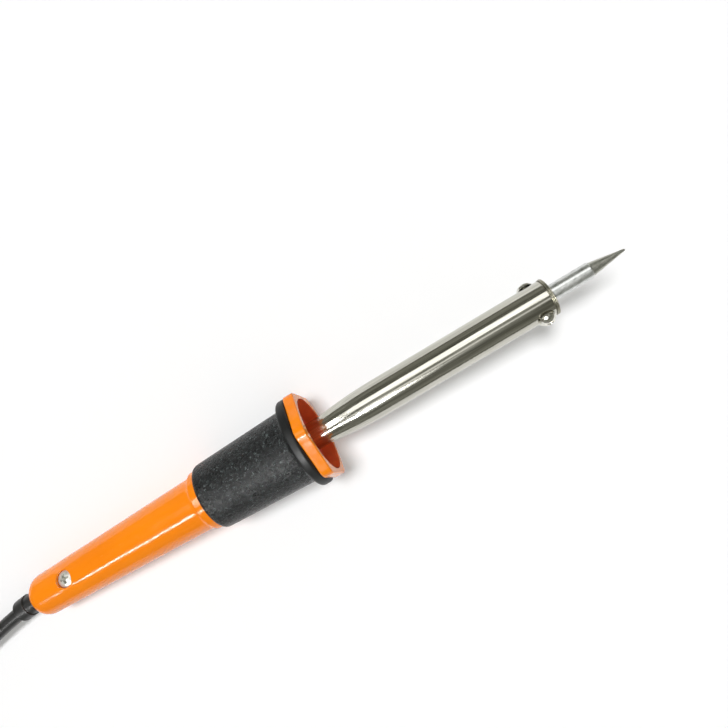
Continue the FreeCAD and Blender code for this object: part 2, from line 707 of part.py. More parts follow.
def clamp_screw(angle, push):
    """Domed screw whose tip stops just short of the bit, which is pushed along the screw."""
    rise = CLAMP_HEAD - CLAMP_HEAD_RIM
    ball = (CLAMP_HEAD_R ** 2 + rise ** 2) / (2.0 * rise)
    head = post(CLAMP_SCREW_X, CLAMP_HEAD_BASE, CLAMP_HEAD_TOP, CLAMP_HEAD_R)
    centre = Vector(CLAMP_SCREW_X, 0.0, CLAMP_HEAD_TOP - ball)
    head = head.common(Part.makeSphere(ball, centre))
    head = head.cut(
        cross_recess(CLAMP_SCREW_X, CLAMP_HEAD_TOP, RECESS_WIDTH, RECESS_REACH, RECESS_DEPTH)
    )
    tip = BIT_R + push + CLAMP_TIP_GAP
    return rolled(head.fuse(post(CLAMP_SCREW_X, tip, CLAMP_HEAD_BASE, CLAMP_SCREW_R)), angle)


def clamp_washer(angle):
    ring = post(CLAMP_SCREW_X, WASHER_BASE, WASHER_TOP, WASHER_R)
    hole = post(CLAMP_SCREW_X, 0.0, 2.0 * WASHER_TOP, CLAMP_SCREW_R + WASHER_GAP)
    return rolled(ring.cut(hole), angle)


# ---- free cord and plug ----------------------------------------------------------------
def hank_side(distance, low, high):
    """The hank seen as one block: a waist and two end loops, grown by a distance."""
    loop = LOOP_R + distance
    waist = WAIST_HALF + distance
    half = WAIST_LENGTH / 2.0
    run = HANK_HALF - half
    reach = math.hypot(run, waist)
    lean = math.asin(loop / reach) - math.atan2(waist, run)
    touch = Vector(HANK_HALF - loop * math.sin(lean), loop * math.cos(lean), low)
    corners = (
        Vector(half, waist, low),
        touch,
        Vector(HANK_HALF + loop, 0.0, low),
        Vector(touch.x, -touch.y, low),
        Vector(half, -waist, low),
    )
    edges = [
        Part.LineSegment(corners[0], corners[1]).toShape(),
        Part.Arc(corners[1], corners[2], corners[3]).toShape(),
        Part.LineSegment(corners[3], corners[4]).toShape(),
        Part.LineSegment(corners[4], Vector(0.0, -waist, low)).toShape(),
        Part.LineSegment(Vector(0.0, -waist, low), Vector(0.0, waist, low)).toShape(),
        Part.LineSegment(Vector(0.0, waist, low), corners[0]).toShape(),
    ]
    return Part.Face(Part.Wire(edges)).extrude(UP * (high - low))


def hank_eye(low, high):
    """Opening of an end loop."""
    loop = LOOP_R - CORD_R
    peak = HANK_HALF - loop * loop / (HANK_HALF - WAIST_LENGTH)
    side = loop * math.sqrt(1.0 - (loop / (HANK_HALF - WAIST_LENGTH)) ** 2)
    edges = [
        Part.LineSegment(Vector(WAIST_LENGTH, 0.0, low), Vector(peak, side, low)).toShape(),
        Part.Arc(
            Vector(peak, side, low),
            Vector(HANK_HALF + loop, 0.0, low),
            Vector(peak, -side, low),
        ).toShape(),
        Part.LineSegment(Vector(peak, -side, low), Vector(WAIST_LENGTH, 0.0, low)).toShape(),
    ]
    return Part.Face(Part.Wire(edges)).extrude(UP * (high - low))


def hank_block():
    low = FLOOR_GAP
    entry_top = FLOOR_GAP + 2.0 * CORD_R + HANK_TURNS * TURN_RISE
    far_top = entry_top - TURN_RISE * 0.7
    near = hank_side(CORD_R, low, entry_top).cut(hank_eye(low - 1.0, entry_top + 1.0))
    far = hank_side(CORD_R, low, far_top).cut(hank_eye(low - 1.0, entry_top + 1.0))
    far.rotate(ORIGIN, UP, 180.0)
    return near.fuse(far).removeSplitter()


def cord_tie():
    inner = WAIST_HALF + CORD_R + TIE_SLACK
    high = FLOOR_GAP + 2.0 * CORD_R + HANK_TURNS * TURN_RISE - TIE_SQUEEZE
    low = FLOOR_GAP + TIE_SQUEEZE
    half = TIE_WIDTH / 2.0
    wide = 2.0 * (inner + TIE_THICKNESS)
    outer = block(-half, half, wide, low - TIE_THICKNESS, high + TIE_THICKNESS)
    hole = block(-half - 1.0, half + 1.0, 2.0 * inner, low, high)
    return outer.cut(hole)


def plug_section(x, width, height):
    cut = PLUG_CORNER
    half_width = width / 2.0
    half_height = height / 2.0
    corners = []
    for side, top in ((1, 1), (-1, 1), (-1, -1), (1, -1)):
        first = Vector(x, side * half_width, top * (half_height - cut))
        second = Vector(x, side * (half_width - cut), top * half_height)
        corners.extend((first, second) if side * top > 0 else (second, first))
    corners.append(corners[0])
    return Part.makePolygon(corners)


def plug_pin_sides():
    return (-PIN_SPACING / 2.0, PIN_SPACING / 2.0)


def plug_relief():
    cone = Part.makeCone(
        PLUG_RELIEF_REAR_R, PLUG_RELIEF_FRONT_R, PLUG_RELIEF_LENGTH, ORIGIN, AXIS * -1.0
    )
    return cone


def plug_body():
    back = -PLUG_RELIEF_LENGTH
    front = back - PLUG_LENGTH
    body = Part.makeLoft(
        [
            plug_section(back, PLUG_REAR_WIDTH, PLUG_REAR_HEIGHT),
            plug_section(back - PLUG_GRIP_LENGTH, PLUG_GRIP_WIDTH, PLUG_REAR_HEIGHT),
            plug_section(front + PLUG_FACE_LENGTH, PLUG_WIDTH, PLUG_HEIGHT),
            plug_section(front, PLUG_WIDTH, PLUG_HEIGHT),
        ],
        True,
        True,
    )
    for y in plug_pin_sides():
        body = body.cut(rod(front - 1.0, front + PIN_ROOT, PIN_NECK_R, y))
    return body


def plug_pins():
    front = -PLUG_RELIEF_LENGTH - PLUG_LENGTH
    pins = []
    for y in plug_pin_sides():
        neck = rod(front - PIN_SLEEVE_LENGTH, front + PIN_ROOT, PIN_NECK_R, y)
        nose = rod(front - PIN_LENGTH, front - PIN_SLEEVE_LENGTH, PIN_R, y)
        nose = nose.makeChamfer(PIN_TIP, end_edges(nose, AXIS, (front - PIN_LENGTH,)))
        pins.append(neck.fuse(nose))
    return Part.makeCompound(pins)


def pin_sleeves():
    front = -PLUG_RELIEF_LENGTH - PLUG_LENGTH
    sleeves = []
    for y in plug_pin_sides():
        sleeves.append(pipe(front - PIN_SLEEVE_LENGTH, front, PIN_SLEEVE_R, PIN_NECK_R, y))
    return Part.makeCompound(sleeves)


# ---- all pieces, on the table ----------------------------------------------------------
iron = {
    "handle": rolled(handle(), -ROLL),
    "grip_sleeve": grip_sleeve(),
    "strain_relief": strain_relief(),
    "cord_entry": cord_entry(),
    "cord_clamp": rolled(cord_clamp(), -ROLL),
    "tail_screw": rolled(tail_screw(), -ROLL),
    "terminal_block": rolled(terminal_block(), -ROLL),
    "terminal_tubes": rolled(terminal_tubes(), -ROLL),
    "terminal_screws": rolled(terminal_screws(), -ROLL),
    "core_live": rolled(core("core_live", -1.0), -ROLL),
    "core_neutral": rolled(core("core_neutral", 1.0), -ROLL),
    "heater_lead_1": rolled(heater_lead(-1.0), -ROLL),
    "heater_lead_2": rolled(heater_lead(1.0), -ROLL),
    "lead_sleeve_1": rolled(lead_sleeve(-1.0), -ROLL),
    "lead_sleeve_2": rolled(lead_sleeve(1.0), -ROLL),
    "rear_spacer": rolled(rear_spacer(), -ROLL),
    "heater_core": rolled(heater_core(), -ROLL),
    "heater_winding": rolled(heater_winding(), -ROLL),
    "mica_wrap": mica_wrap(),
    "barrel": barrel(),
    "barrel_flange": rolled(barrel_flange(), -ROLL),
    "flange_screws": rolled(flange_screws(), -ROLL),
    "nose_collar": nose_collar(),
    "bit": bit(),
    "clamp_screw_near": clamp_screw(CLAMP_ROLL, -BIT_PUSH),
    "clamp_screw_far": clamp_screw(CLAMP_ROLL + 180.0, BIT_PUSH),
    "clamp_washer_near": clamp_washer(CLAMP_ROLL),
    "clamp_washer_far": clamp_washer(CLAMP_ROLL + 180.0),
}

tilted = Rotation(ACROSS, -math.degrees(TILT))
pieces = {}
for name, shape in iron.items():
    pieces[name] = shape.copy()
    pieces[name].Placement = Placement(UP * AXIS_HEIGHT, tilted).multiply(shape.Placement)

# The origin goes under the middle of the iron, measured from strain relief to tip.
rear = pieces["strain_relief"].optimalBoundingBox(False, False).XMin
front = pieces["bit"].optimalBoundingBox(False, False).XMax
shift = AXIS * (-(rear + front) / 2.0)
for shape in pieces.values():
    shape.translate(shift)

# The free cord: out of the relief, down to the table and under the hank.
exit_turn = math.radians(RELIEF_TURN)
bend_end = Vector(-math.sin(exit_turn), math.cos(exit_turn) - 1.0, 0.0) * RELIEF_RADIUS
exit_point = tilted.multVec(bend_end) + UP * AXIS_HEIGHT + shift
exit_heading = tilted.multVec(Vector(-math.cos(exit_turn), -math.sin(exit_turn), 0.0))
lead_points = [exit_point, exit_point + exit_heading * LEAD_FIRST_RUN]
for x, y, z in LEAD_ROUTE:
    lead_points.append(Vector(exit_point.x + x, exit_point.y + y, z))
hank_middle = exit_point + Vector(HANK_FROM_EXIT[0], HANK_FROM_EXIT[1], -exit_point.z)
tail_start_z = FLOOR_GAP + CORD_R + HANK_TURNS * TURN_RISE
tail_points = [
    hank_middle + Vector(0.0, -WAIST_HALF, tail_start_z),
    hank_middle + Vector(-TAIL_FIRST_RUN, -WAIST_HALF, tail_start_z),
]
for x, y, z in TAIL_ROUTE:
    tail_points.append(hank_middle + Vector(x, y, z))

tie = cord_tie()
tie.translate(hank_middle)
lead = cord_tube("cord_lead", lead_points, CORD_R)
tail = cord_tube("cord_tail", tail_points, CORD_R).cut(tie)
hank = hank_block()
hank.translate(hank_middle)
pieces["cord_lead"] = lead
pieces["cord_hank"] = hank.cut(lead).cut(tail).cut(tie)
pieces["cord_tie"] = tie
pieces["cord_tail"] = tail
plug = {
    "plug_relief": plug_relief(),
    "plug_body": plug_body(),
    "plug_pins": plug_pins(),
    "pin_sleeves": pin_sleeves(),
}
for name, shape in plug.items():
    shape.translate(tail_points[-1])
    pieces[name] = shape

print("tilt", round(math.degrees(TILT), 3), "roll", round(ROLL, 3))
print("axis height at the tail", round(AXIS_HEIGHT, 3), "shift", round(shift.x, 3))
print("exit", [round(value, 3) for value in exit_point])
print("exit heading", [round(value, 4) for value in exit_heading])
print("hank middle", [round(value, 3) for value in hank_middle])
print("plug", [round(value, 3) for value in tail_points[-1]])

os.makedirs("parts", exist_ok=True)
for name, shape in pieces.items():
    shape.exportStep("parts/" + name + ".step")
    print(name, "solids", len(shape.Solids), "valid", shape.isValid(), "volume", round(shape.Volume, 1))
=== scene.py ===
import bpy
import bmesh
import math
from mathutils import Matrix, Vector, noise


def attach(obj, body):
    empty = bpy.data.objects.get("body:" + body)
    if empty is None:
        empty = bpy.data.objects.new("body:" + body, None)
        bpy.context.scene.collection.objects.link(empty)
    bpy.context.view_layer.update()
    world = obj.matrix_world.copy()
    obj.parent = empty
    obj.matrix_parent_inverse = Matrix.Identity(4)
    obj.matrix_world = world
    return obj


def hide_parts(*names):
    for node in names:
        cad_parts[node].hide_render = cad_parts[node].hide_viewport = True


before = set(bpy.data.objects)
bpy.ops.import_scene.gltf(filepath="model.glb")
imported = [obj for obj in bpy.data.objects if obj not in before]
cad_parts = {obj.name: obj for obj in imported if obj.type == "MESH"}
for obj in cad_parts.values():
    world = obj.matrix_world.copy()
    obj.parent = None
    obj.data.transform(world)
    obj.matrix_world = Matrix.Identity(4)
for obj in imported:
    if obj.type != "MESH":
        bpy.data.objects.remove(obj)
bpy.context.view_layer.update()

scene = bpy.context.scene
noise.seed_set(7)       # noise_vector takes the clock as its seed otherwise

# Millimetres, as in part.py. The iron's own axis runs from x = 0 at the tail of the handle.
MM = 0.001
TILT = math.radians(4.663)      # nose up
ROLL = math.radians(15.084)     # about the axis
AXIS_HEIGHT = 6.990             # of the axis at x = 0
SHIFT = -110.329                # of x = 0 along the frame's X


def iron(x, y, z):
    """A point given along the iron's own axis (mm, 0 at the tail) in the frame, in metres."""
    c, s = math.cos(TILT), math.sin(TILT)
    return Vector(((x * c - z * s + SHIFT) * MM, y * MM, (x * s + z * c + AXIS_HEIGHT) * MM))


# ------------------------------------------------------------------ node helpers
# sockets of a Mix node that mixes colours
MIX_FACTOR = 0
MIX_A = 6
MIX_B = 7
MIX_RESULT = 2
BEVEL_SAMPLES = 6


class Nodes:
    """Small writer for one material's node tree."""

    def __init__(self, name):
        self.mat = bpy.data.materials.new(name)
        self.mat.use_nodes = True
        self.tree = self.mat.node_tree
        self.tree.nodes.clear()
        self.out = self.add("ShaderNodeOutputMaterial")
        self.bsdf = self.add("ShaderNodeBsdfPrincipled")
        self.join(self.bsdf, "BSDF", self.out, "Surface")
        self.coords = self.add("ShaderNodeTexCoord")

    def add(self, kind, **values):
        node = self.tree.nodes.new(kind)
        for key, value in values.items():
            setattr(node, key, value)
        return node

    def join(self, a, out, b, into):
        self.tree.links.new(a.outputs[out], b.inputs[into])

    def put(self, node, **sockets):
        for key, value in sockets.items():
            node.inputs[key.replace("_", " ")].default_value = value
        return node

    def axis_space(self, scale=(1.0, 1.0, 1.0)):
        """Place in the iron's own frame, in millimetres from the tail, then stretched."""
        c, s = math.cos(TILT), math.sin(TILT)
        turn = self.add("ShaderNodeMapping", vector_type="POINT")
        turn.inputs["Location"].default_value = (
            -(SHIFT * c + AXIS_HEIGHT * s), 0.0, SHIFT * s - AXIS_HEIGHT * c)
        turn.inputs["Rotation"].default_value = (0.0, TILT, 0.0)
        turn.inputs["Scale"].default_value = (1000.0, 1000.0, 1000.0)
        self.join(self.coords, "Object", turn, "Vector")
        stretch = self.add("ShaderNodeMapping", vector_type="POINT")
        stretch.inputs["Scale"].default_value = scale
        self.join(turn, "Vector", stretch, "Vector")
        return stretch

    def noise(self, space, scale, detail=4.0, roughness=0.55, distortion=0.0):
        node = self.add("ShaderNodeTexNoise")
        self.put(node, Scale=scale, Detail=detail, Roughness=roughness, Distortion=distortion)
        self.join(space, "Vector", node, "Vector")
        return node

    def ramp(self, source, out, stops):
        node = self.add("ShaderNodeValToRGB")
        stops = [(p, c if isinstance(c, tuple) else (c, c, c, 1.0)) for p, c in stops]
        bar = node.color_ramp.elements
        while len(bar) < len(stops):
            bar.new(0.5)
        for element, (place, colour) in zip(bar, stops):
            element.position = place
            element.color = colour
        self.join(source, out, node, "Fac")
        return node

    def spread(self, source, out, low, high, start=0.0, end=1.0):
        node = self.add("ShaderNodeMapRange")
        self.put(node, From_Min=start, From_Max=end, To_Min=low, To_Max=high)
        self.join(source, out, node, "Value")
        return node

    def uneven(self, pattern, low, high):
        """The middle of a noise pattern spread over low to high."""
        return self.spread(pattern, "Fac", low, high, 0.3, 0.7)

    def mix(self, a, a_out, b, b_out, factor, factor_out=None, blend="MIX"):
        """Colour a turned into b, a node's or with no b_out a plain one, by a number or a node."""
        node = self.add("ShaderNodeMix", data_type="RGBA", blend_type=blend)
        if factor_out is None:
            node.inputs[MIX_FACTOR].default_value = factor
        else:
            self.join(factor, factor_out, node, MIX_FACTOR)
        self.join(a, a_out, node, MIX_A)
        if b_out is None:
            node.inputs[MIX_B].default_value = b
        else:
            self.join(b, b_out, node, MIX_B)
        return node

    def bump(self, source, out, distance, before=None):
        """Relief of a height in metres, laid on the normal that comes before it."""
        node = self.add("ShaderNodeBump")
        self.put(node, Strength=1.0, Distance=distance)
        self.join(source, out, node, "Height")
        if before is not None:
            self.join(before, "Normal", node, "Normal")
        return node

    def bevel(self, radius):
        """Softened edges, radius in metres."""
        node = self.add("ShaderNodeBevel")
        node.samples = BEVEL_SAMPLES
        node.inputs["Radius"].default_value = radius
        return node


def linear(r, g, b):
    """sRGB 0..255 to linear."""
    def one(v):
        v /= 255.0
        return v / 12.92 if v <= 0.04045 else ((v + 0.055) / 1.055) ** 2.4
    return (one(r), one(g), one(b), 1.0)


# ------------------------------------------------------------------ materials
# radius and floor of the cup's hollow, which bound its painted shade
CUP_R = 13.25           # just inside the cup's mouth
CUP_FLOOR_X = 101.5
SLEEVE_R = 13.6         # from here on the grain fades into the lip
CONE_X = 217.2          # where the bit's cone begins


def solid(name, dark, light, scale, rough, rough_noise, bump, bump_scale, bevel=0.0,
          stretch=(1.0, 1.0, 1.0), metallic=0.0):
    """A surface of two close colours in a noise pattern, uneven gloss and a bump."""
    n = Nodes(name)
    pattern = n.noise(n.axis_space(stretch), scale)
    colour = n.ramp(pattern, "Fac", ((0.35, dark), (0.65, light)))
    n.join(colour, "Color", n.bsdf, "Base Color")
    gloss = n.noise(n.axis_space(stretch), scale * rough_noise, 3.0)
    n.join(n.uneven(gloss, *rough), "Result", n.bsdf, "Roughness")
    edge = n.bevel(bevel * MM) if bevel else None
    relief = n.noise(n.axis_space(stretch), bump_scale, 3.0)
    n.join(n.bump(relief, "Fac", bump * MM, edge), "Normal", n.bsdf, "Normal")
    n.put(n.bsdf, Metallic=metallic, IOR=1.5)
    return n.mat


def orange_plastic():
    """Glossy moulding with faint scuffs and waves, and painted shade in the cup's hollow."""
    n = Nodes("orange_plastic")
    wide = n.noise(n.axis_space((0.35, 1.0, 1.0)), 0.12, 3.0)
    base = n.ramp(wide, "Fac", ((0.3, linear(250, 134, 5)), (0.7, linear(254, 141, 10))))
    scuffs = n.noise(n.axis_space((0.25, 1.6, 1.6)), 0.9, 5.0, 0.65)
    mask = n.ramp(scuffs, "Fac", ((0.685, 0.0), (0.75, 0.28)))
    worn = n.mix(base, "Color", linear(255, 190, 120), None, mask, "Color")
    # painted shade: inside the cup, up to its radius and from its floor on, the colour is a deeper red,
    # standing in for the little light that reaches its hollow
    depth = n.add("ShaderNodeVectorMath", operation="LENGTH")
    n.join(n.axis_space((0.0, 1.0, 1.0)), "Vector", depth, "Vector")
    near = n.spread(depth, "Value", 1.0, 0.0, CUP_R, CUP_R + 0.15)
    along = n.add("ShaderNodeSeparateXYZ")
    n.join(n.axis_space(), "Vector", along, "Vector")
    front = n.spread(along, "X", 0.0, 1.0, CUP_FLOOR_X - 1.5, CUP_FLOOR_X - 0.5)
    cup_shade_mask = n.add("ShaderNodeMath", operation="MULTIPLY")
    n.join(near, "Result", cup_shade_mask, 0)
    n.join(front, "Result", cup_shade_mask, 1)
    # deeper red of the cup's painted shade
    cup_shade = n.ramp(wide, "Fac", ((0.3, (1.0, 0.125, 0.060, 1.0)), (0.7, (1.0, 0.150, 0.075, 1.0))))
    cup_shaded = n.mix(worn, MIX_RESULT, cup_shade, "Color", cup_shade_mask, "Value")
    n.join(cup_shaded, MIX_RESULT, n.bsdf, "Base Color")
    haze = n.noise(n.axis_space(), 0.5, 4.0)
    n.join(n.uneven(haze, 0.10, 0.20), "Result", n.bsdf, "Roughness")
    edge = n.bevel(0.25 * MM)
    waves = n.noise(n.axis_space((0.06, 1.0, 1.0)), 0.28, 1.0)
    moulded = n.bump(waves, "Fac", 0.10 * MM, edge)
    fine = n.noise(n.axis_space(), 3.0, 2.0)
    n.join(n.bump(fine, "Fac", 0.0015 * MM, moulded), "Normal", n.bsdf, "Normal")
    n.put(n.bsdf, IOR=1.48)
    return n.mat


def grained_rubber():
    """Leather-like grain on the sleeve, which stops at the smooth lip; the grain's pale crests are
    painted glints.
    """
    n = Nodes("grained_rubber")
    reach = n.add("ShaderNodeVectorMath", operation="LENGTH")
    n.join(n.axis_space((0.0, 1.0, 1.0)), "Vector", reach, "Vector")
    sleeve = n.spread(reach, "Value", 1.0, 0.0, SLEEVE_R, SLEEVE_R + 1.0)
    wide = n.noise(n.axis_space(), 0.35, 3.0)
    wrinkle = n.noise(n.axis_space((0.85, 1.0, 1.0)), 1.5, 4.0, 0.6, 1.0)
    # grain tone: real dark grain, with painted glints on its palest crests
    grain_and_glints = n.ramp(wrinkle, "Fac", ((0.40, linear(2, 3, 4)), (0.50, linear(5, 7, 8)),
                                      (0.58, linear(22, 27, 28)), (0.67, linear(98, 107, 107))))
    smooth = n.ramp(wide, "Fac", ((0.3, linear(14, 15, 15)), (0.7, linear(22, 23, 23))))
    tone = n.mix(smooth, "Color", grain_and_glints, "Color", sleeve, "Result")
    n.join(tone, MIX_RESULT, n.bsdf, "Base Color")
    dull = n.add("ShaderNodeMath", operation="ADD")
    n.join(n.uneven(wide, 0.22, 0.31), "Result", dull, 0)
    n.join(n.spread(sleeve, "Result", 0.20, 0.0), "Result", dull, 1)
    n.join(dull, "Value", n.bsdf, "Roughness")
    height = n.add("ShaderNodeMath", operation="MULTIPLY")
    n.join(wrinkle, "Fac", height, 0)
    n.join(sleeve, "Result", height, 1)
    edge = n.bevel(0.3 * MM)
    n.join(n.bump(height, "Value", 0.32 * MM, edge), "Normal", n.bsdf, "Normal")
    n.put(n.bsdf, IOR=1.38)
    return n.mat


def barrel_steel():
    """Tube steel: streaks and polish marks run along the axis."""
    n = Nodes("barrel_steel")
    streaks = n.noise(n.axis_space((0.015, 1.0, 1.0)), 2.6, 4.0, 0.6)
    blotch = n.noise(n.axis_space((0.12, 0.6, 0.6)), 0.5, 4.0)
    tone = n.ramp(blotch, "Fac", ((0.3, linear(196, 194, 183)), (0.7, linear(212, 210, 200))))
    lines = n.ramp(streaks, "Fac", ((0.32, 0.70), (0.60, 1.0)))
    paint = n.mix(tone, "Color", lines, "Color", 1.0, None, "MULTIPLY")
    n.join(paint, MIX_RESULT, n.bsdf, "Base Color")
    n.join(n.uneven(streaks, 0.09, 0.16), "Result", n.bsdf, "Roughness")
    edge = n.bevel(0.15 * MM)
    n.join(n.bump(streaks, "Fac", 0.008 * MM, edge), "Normal", n.bsdf, "Normal")
    n.put(n.bsdf, Metallic=1.0)
    return n.mat


def bit_plating():
    """Dull plated shank, darker tinned cone, set apart by the place along the axis."""
    n = Nodes("bit_plating")
    parts = n.add("ShaderNodeSeparateXYZ")
    n.join(n.axis_space(), "Vector", parts, "Vector")
    cone = n.spread(parts, "X", 0.0, 1.0, CONE_X, CONE_X + 0.5)
    mottle = n.noise(n.axis_space((0.8, 1.0, 1.0)), 0.8, 5.0, 0.6)
    shank = n.ramp(mottle, "Fac", ((0.35, linear(196, 198, 196)), (0.66, linear(226, 228, 226))))
    tin = n.ramp(mottle, "Fac", ((0.3, linear(160, 160, 151)), (0.7, linear(196, 196, 187))))
    paint = n.mix(shank, "Color", tin, "Color", cone, "Result")
    n.join(paint, MIX_RESULT, n.bsdf, "Base Color")
    rough = n.add("ShaderNodeMath", operation="ADD")
    n.join(n.uneven(mottle, 0.27, 0.36), "Result", rough, 0)
    n.join(n.spread(cone, "Result", 0.0, 0.05), "Result", rough, 1)
    n.join(rough, "Value", n.bsdf, "Roughness")
    edge = n.bevel(0.25 * MM)
    pits = n.noise(n.axis_space(), 2.0, 3.0, 0.55)
    n.join(n.bump(pits, "Fac", 0.018 * MM, edge), "Normal", n.bsdf, "Normal")
    n.put(n.bsdf, Metallic=1.0)
    return n.mat


def grey(v):
    return linear(v, v, v)


# one look for each of the record's material slots, and one more for the tail screw
LOOKS = {
    "orange_handle": orange_plastic(),
    "grip_rubber": grained_rubber(),
    "black_vinyl": solid("black_vinyl", grey(30), grey(40), 0.4, (0.32, 0.42), 2.0, 0.02, 1.2, 0.3,
                         stretch=(0.4, 1.0, 1.0)),
    "cord_tie_plastic": solid("tie_plastic", grey(34), grey(48), 0.8, (0.45, 0.6), 2.0, 0.03, 2.0, 0.3),
    "plug_plastic": solid("plug_plastic", grey(32), grey(42), 0.3, (0.38, 0.5), 3.0, 0.03, 2.5, 0.6),
    "nickel_plate": solid("nickel_plate", linear(205, 203, 195), linear(236, 234, 226), 0.9,
                          (0.12, 0.24), 2.0, 0.01, 3.0, 0.08, metallic=1.0),
    "screw_plate": solid("screw_plate", linear(206, 205, 198), linear(228, 227, 220), 0.9,
                         (0.28, 0.38), 2.0, 0.012, 3.0, 0.06, metallic=0.45),
    "barrel_steel": barrel_steel(),
    "nose_steel": solid("nose_steel", linear(138, 135, 120), linear(170, 167, 152), 1.2,
                        (0.28, 0.36), 2.0, 0.012, 2.0, 0.10, metallic=1.0),
    "bit_plating": bit_plating(),
    "terminal_plastic": solid("terminal_plastic", linear(214, 212, 200), linear(228, 226, 216), 0.5,
                              (0.45, 0.6), 2.0, 0.02, 2.0, 0.2),
    "terminal_brass": solid("terminal_brass", linear(190, 152, 84), linear(214, 180, 112), 0.9,
                            (0.2, 0.34), 2.0, 0.01, 3.0, 0.1, metallic=1.0),
    "brown_insulation": solid("brown_insulation", linear(84, 46, 26), linear(104, 58, 32), 0.6,
                              (0.4, 0.55), 2.0, 0.02, 2.0),
    "blue_insulation": solid("blue_insulation", linear(36, 74, 150), linear(48, 92, 172), 0.6,
                             (0.4, 0.55), 2.0, 0.02, 2.0),
    "heater_wire": solid("heater_wire", linear(120, 112, 104), linear(164, 156, 146), 1.4,
                         (0.3, 0.5), 2.0, 0.02, 3.0, metallic=1.0),
    "ceramic": solid("ceramic", linear(222, 218, 204), linear(238, 234, 222), 0.7, (0.6, 0.8), 2.0,
                     0.03, 2.5, 0.2),
    "mica": solid("mica", linear(176, 160, 124), linear(206, 192, 158), 0.5, (0.3, 0.5), 2.0, 0.05,
                  0.8, stretch=(0.3, 1.0, 1.0)),
}

SLOT_NODES = {
    "orange_handle": ("handle",),
    "grip_rubber": ("grip_sleeve",),
    "black_vinyl": ("strain_relief", "cord_entry", "cord_lead", "cord_hank", "cord_tail",
                    "plug_relief"),
    "cord_tie_plastic": ("cord_tie",),
    "plug_plastic": ("plug_body", "pin_sleeves"),
    "nickel_plate": ("plug_pins", "tail_screw", "flange_screws", "clamp_screw_near",
                     "clamp_screw_far", "clamp_washer_near", "clamp_washer_far", "cord_clamp"),
    "barrel_steel": ("barrel",),
    "nose_steel": ("nose_collar", "barrel_flange"),
    "bit_plating": ("bit",),
    "terminal_plastic": ("terminal_block",),
    "terminal_brass": ("terminal_tubes", "terminal_screws"),
    "brown_insulation": ("core_live",),
    "blue_insulation": ("core_neutral",),
    "heater_wire": ("heater_lead_1", "heater_lead_2", "heater_winding"),
    "ceramic": ("lead_sleeve_1", "lead_sleeve_2", "rear_spacer", "heater_core"),
    "mica": ("mica_wrap",),
}
SLOTS = {name: slot for slot, names in SLOT_NODES.items() for name in names}

for name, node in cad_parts.items():
    node.data.materials.clear()
    node.data.materials.append(LOOKS[SLOTS[name]])


# ------------------------------------------------------------------ screws
SHANK_R = 1.5
THREAD_PITCH = 0.5
THREAD_ROOT_R = 1.19
# one turn of the thread: share of the pitch, radius
THREAD_FORM = ((0.0, THREAD_ROOT_R), (0.25, THREAD_ROOT_R), (0.5625, SHANK_R), (0.6875, SHANK_R))
SIDES = 40              # round a screw or a round punch
HEAD_EDGE = 0.12
DOME_STEPS = 8
SCREW_CREASE = 35.0     # degrees; sharper edges aren't smoothed
# arm's half width and reach, as shares of the recess's width and reach
PUNCH_TOP = (0.55, 1.08)
PUNCH_POINT = (0.30, 0.42)
PUNCH_OVER = 0.25       # how far the punch stands out of the head
WELD = 0.0005 * MM
CROSS_HOLE_R = SHANK_R + 0.1
CROSS_HOLE_REACH = 9.0

CLAMP_X = 197.5
CLAMP_ANGLE = math.radians(58.4)
CLAMP_NEAR_TIP = 2.03
CLAMP_FAR_TIP = 3.47
CLAMP_BASE = 6.85       # underside of the head, on the washer
CLAMP_HEAD = (2.7, 0.35, 8.60)          # radius, height of the rim, distance of the crown
CLAMP_RECESS = (0.75, 1.5, 0.95)        # width of an arm, its reach, depth
TAIL_X = 16.7
TAIL_TIP = 4.1
TAIL_SEAT = 6.166
TAIL_HEAD = (2.8, 0.45, 7.566)
TAIL_RECESS = (0.95, 1.7, 2.3)


def square_place(x, angle):
    """Frame place for a screw that stands square to the axis, from +Z round towards -Y."""
    c, s = math.cos(angle), math.sin(angle)

    def place(along, across, out):
        return iron(x + along, across * c - out * s, across * s + out * c)

    return place


def ring(bm, place, radius, height):
    """Ring of vertices round a screw's own axis."""
    verts = []
    for side in range(SIDES):
        turn = 2.0 * math.pi * side / SIDES
        verts.append(bm.verts.new(place(radius * math.cos(turn), radius * math.sin(turn), height)))
    return verts


def add_lathe(bm, place, profile):
    """Profile of (radius, height) turned round a screw's own axis."""
    rings = [ring(bm, place, radius, height) for radius, height in profile]
    for low, high in zip(rings, rings[1:]):
        for side in range(SIDES):
            after = (side + 1) % SIDES
            bm.faces.new((low[side], low[after], high[after], high[side]))


def add_thread(bm, place, tip, base):
    """Helical thread between two flat ends, with the crest cut back at both."""
    def row(height, crest):
        verts = []
        for side in range(SIDES):
            turn = 2.0 * math.pi * side / SIDES
            high = min(base, max(tip, height + THREAD_PITCH * side / SIDES))
            r = min(crest, THREAD_ROOT_R + high - tip, THREAD_ROOT_R + base - high)
            verts.append(bm.verts.new(place(r * math.cos(turn), r * math.sin(turn), high)))
        return verts

    turns = math.ceil((base - tip) / THREAD_PITCH) + 2
    rows = []
    for lap in range(-1, turns):
        for part, crest in THREAD_FORM:
            rows.append(row(tip + (lap + part) * THREAD_PITCH, crest))
    lead = len(THREAD_FORM)
    for index in range(len(rows) - 1):
        low, high = rows[index], rows[index + 1]
        for side in range(SIDES - 1):
            bm.faces.new((low[side], low[side + 1], high[side + 1], high[side]))
        if index + lead + 1 < len(rows):
            on, above = rows[index + lead][0], rows[index + lead + 1][0]
            bm.faces.new((low[-1], on, above, high[-1]))


def dome(radius, rim, top):
    """Profile of a domed head from its rim to its crown."""
    rise = top - rim
    ball = (radius ** 2 + rise ** 2) / (2.0 * rise)
    end = math.asin(radius / ball)
    points = []
    for step in range(DOME_STEPS + 1):
        angle = end * (1.0 - step / DOME_STEPS)
        points.append((ball * math.sin(angle), top - ball + ball * math.cos(angle)))
    return points


